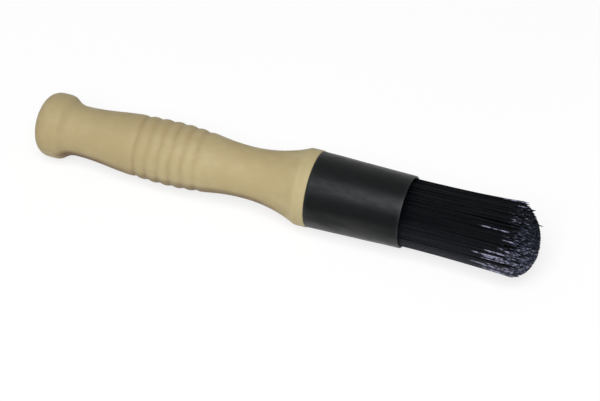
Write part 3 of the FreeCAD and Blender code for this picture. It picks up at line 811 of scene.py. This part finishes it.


# what each filament's colour goes by, from its root and tip as shares of the pack's radius:
# the painted floor reflection and the glint bias are ramps of the cosine off their sides, and a
# filament's painted glint starts at the common start less chance x length, or where it is listed
def filamentTones(look, chance, foot, tip):
    count = len(foot)
    tone = chance.uniform(0, 1, count)
    angle, outward = np.arctan2(foot[:, 1], foot[:, 0]), np.hypot(foot[:, 0], foot[:, 1])
    # painted floor reflection along the lower rim
    below = facing(angle, look["lowerRimSide"])
    faint = look["faintReflection"] * ramp(below, *look["faintReflectionEdges"])
    lowerRimReflection = np.maximum(ramp(below, *look["lowerRimEdges"]), faint) * ramp(outward, *look["lowerRimReach"])

    # the glint bias towards its side, and from the same side the painted sheen on the cut ends
    glintBias = ramp(facing(angle, look["glintSide"]), *look["glintEdges"]) * outward
    way = math.radians(look["glintSide"])
    middleHaze, moreHaze, leastHaze = look["cutSheen"]
    lowness = tip @ np.array([math.cos(way), math.sin(way)])
    cutSheenShare = np.clip(middleHaze + moreHaze * lowness, leastHaze, 1)

    fewest, moreWorn = look["paleShare"]
    shortest, longerWorn = look["paleLength"]
    showing = chance.uniform(0, 1, count) < fewest + moreWorn * glintBias
    start = look["paleFrom"] - chance.uniform(0, 1, count) * (shortest + longerWorn * glintBias)
    glintStart = np.where(showing, start, look["neverPale"])
    shade = chance.uniform(*look["paleTone"], count) * (1 - look["paleUnderReflection"] * lowerRimReflection)
    for strandAngle, turnsPale in look["paleStrands"]:
        gap = np.abs((np.degrees(angle) - strandAngle + 180) % 360 - 180)
        chosen = (gap + (outward < look["strandsRim"]) * 360).argsort()[:look["strandsEach"]]
        glintStart[chosen] = turnsPale + chance.uniform(0, look["strandScatter"], len(chosen))
        shade[chosen] = chance.uniform(*look["strandTone"], len(chosen))
    return {"tone": tone, "glintStart": glintStart, "lowerRimReflection": lowerRimReflection, "cutSheenShare": cutSheenShare, "shade": shade}


# roots in the sleeve's mouth, tips on the dome, a tube from each root to its tip
def makeBristles(look):
    chance = np.random.default_rng(look["seed"])
    low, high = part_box("bristle_pack")
    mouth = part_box("ferrule")[1].x
    widest = cadRadius("bristle_pack", low.x, mouth + look["measureOver"])
    reach = widest - look["thickness"] / 2
    tipReach = look["tipRadius"] - look["thickness"] / 2
    foot = filamentRoots(look, chance, reach)
    tip = filamentTips(look, chance, foot * tipReach / reach, tipReach, high.x)
    root = np.column_stack([np.full(len(foot), mouth - look["seated"]), foot])
    wave = np.column_stack([
        chance.normal(0, look["waveHeight"], (len(foot), 2)),
        chance.uniform(*look["waveTurn"], len(foot)),
        chance.uniform(0, fullTurn, len(foot)),
    ])
    points, faces, u = filamentTubes(root, tip, wave, look)
    tones = filamentTones(look, chance, foot / reach, tip[:, 1:] / tipReach)
    values = {name: np.repeat(each, len(u) * look["sides"]) for name, each in tones.items()}
    values["along"] = np.tile(np.repeat(u, look["sides"]), len(foot))
    return buildPiece(
        "bristles", points, faces, bristleMaterial(look), values
    )


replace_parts(makeBristles(bristleLook), "bristle_pack")


# the hidden parts keep their CAD shapes, and get their own finishes
hiddenLooks = {
    "resin_setting": {
        "colour": (96, 66, 30), "second": (74, 48, 20), "cloudScale": 120.0,
        "roughness": (0.12, 0.3), "skinScale": 500.0, "skinDepth": 0.02 * mm,
        "shader": {"Specular IOR Level": 0.5, "IOR": 1.55},
    },
    "binding_band": {
        "colour": (40, 38, 36), "second": (54, 51, 48), "cloudScale": 200.0,
        "roughness": (0.6, 0.8), "skinScale": 1500.0, "skinDepth": 0.02 * mm,
        "shader": {"Specular IOR Level": 0.3, "IOR": 1.52},
    },
    "centre_plug": {
        "colour": (186, 150, 104), "second": (160, 122, 80), "cloudScale": 90.0,
        "roughness": (0.55, 0.75), "skinScale": 700.0, "skinDepth": 0.03 * mm,
        "stretch": (0.15, 1, 1),  # wood grain runs along the plug
        "shader": {"Specular IOR Level": 0.25, "IOR": 1.5},
    },
}
for node, look in hiddenLooks.items():
    material = mouldedFinish(node + "Finish", look)[0]
    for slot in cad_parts[node].material_slots:
        slot.material = material
print("finished the hidden parts")


# stage: a pale floor that the knob and the shoulder rest on, a soft lamp and a dim world
stageLook = {
    "floorSize": 6.0,  # metres
    "floorBehind": 0.5,  # metres of floor beyond the brush
    "floorColour": (252, 252, 252),
    "floorSecond": (248, 248, 248),
    "floorShader": {"Roughness": 0.9, "Specular IOR Level": 0.1},
    "cloudScale": 3.0,
    "knobEnd": 15 * mm,  # the knob is the part of the handle before this
    "plainWhite": 0.76,  # share of the floor that is seen as plain white, so shadows stay faint
    "worldLight": 0.14,  # strength of the world's light on the brush
    "lamp": {"azimuth": 10, "elevation": 56.5, "distance": 2.4, "size": 1.85, "power": 73.0},
}


# 1 for rays that see the plain background, from the camera, in reflections and through glass,
# and 0 for those that carry light to the brush
def seesBackground(tree):
    ray = addNode(tree, "ShaderNodeLightPath").outputs
    mirrored = combine(tree, "MAXIMUM", ray["Is Glossy Ray"], ray["Is Transmission Ray"])
    return combine(tree, "MAXIMUM", ray["Is Camera Ray"], mirrored)


# a flat sheet whose height falls along x as a line that touches the knob and the shoulder:
# z = -shoulder radius + slope x (x - shoulder station)
def makeFloor(look):
    outline = cadOutline("handle")
    knob = outline[outline[:, 0] < look["knobEnd"]]
    knobStation, knobRadius = knob[:, 0].mean(), knob[:, 1].max()
    shoulderStation, shoulderRadius = outline[outline[:, 1].argmax()]
    slope = (knobRadius - shoulderRadius) / (shoulderStation - knobStation)
    half, behind = look["floorSize"] / 2, look["floorBehind"]
    x = np.array([-half, half, half, -half])
    y = np.array([-half, -half, behind, behind])
    z = -shoulderRadius + slope * (x - shoulderStation)
    mesh = bpy.data.meshes.new("floor")
    mesh.from_pydata(np.stack([x, y, z], axis=1), [], [[0, 1, 2, 3]])

    material, tree, shader = newMaterial("floorPaper", look["floorShader"])
    noise = noiseValue(tree, objectVector(tree), look["cloudScale"])
    cloud = remap(tree, noise, *effectLook["noiseEdges"], 0.0, 1.0)
    tone = mixColour(tree, cloud, paint(*look["floorColour"]), paint(*look["floorSecond"]))
    tree.links.new(tone, shader.inputs["Base Color"])
    share = combine(tree, "MULTIPLY", seesBackground(tree), look["plainWhite"])
    glow = addNode(tree, "ShaderNodeEmission", {"Color": (1, 1, 1, 1), "Strength": 1.0})
    shaders = {0: share, 1: shader.outputs[0], 2: glow.outputs[0]}
    both = addNode(tree, "ShaderNodeMixShader", shaders)
    tree.links.new(both.outputs[0], tree.nodes["Material Output"].inputs["Surface"])
    mesh.materials.append(material)
    floor = bpy.data.objects.new("floor", mesh)
    bpy.context.scene.collection.objects.link(floor)


# a square lamp at the target plus distance x direction, facing the target
def makeLamp(lamp, target):
    light = bpy.data.lights.new("key", "AREA")
    light.shape = "SQUARE"
    light.size = lamp["size"]
    light.energy = lamp["power"]
    direction = directionTo(lamp["azimuth"], lamp["elevation"])
    placeLooking("key", light, target, direction, lamp["distance"])


# strength 1 where the background is seen, and the dim light of the room everywhere else
def makeWorld(look):
    world = bpy.data.worlds.new("studio")
    bpy.context.scene.world = world
    world.use_nodes = True
    tree = world.node_tree
    background = tree.nodes["Background"]
    background.inputs["Color"].default_value = (1, 1, 1, 1)
    strength = remap(tree, seesBackground(tree), 0.0, 1.0, look["worldLight"], 1.0)
    tree.links.new(strength, background.inputs["Strength"])


makeFloor(stageLook)
makeWorld(stageLook)
makeLamp(stageLook["lamp"], (cadBox[0] + cadBox[1]) / 2)
bpy.context.scene.view_settings.view_transform = "Standard"
print("stage and lamp set")
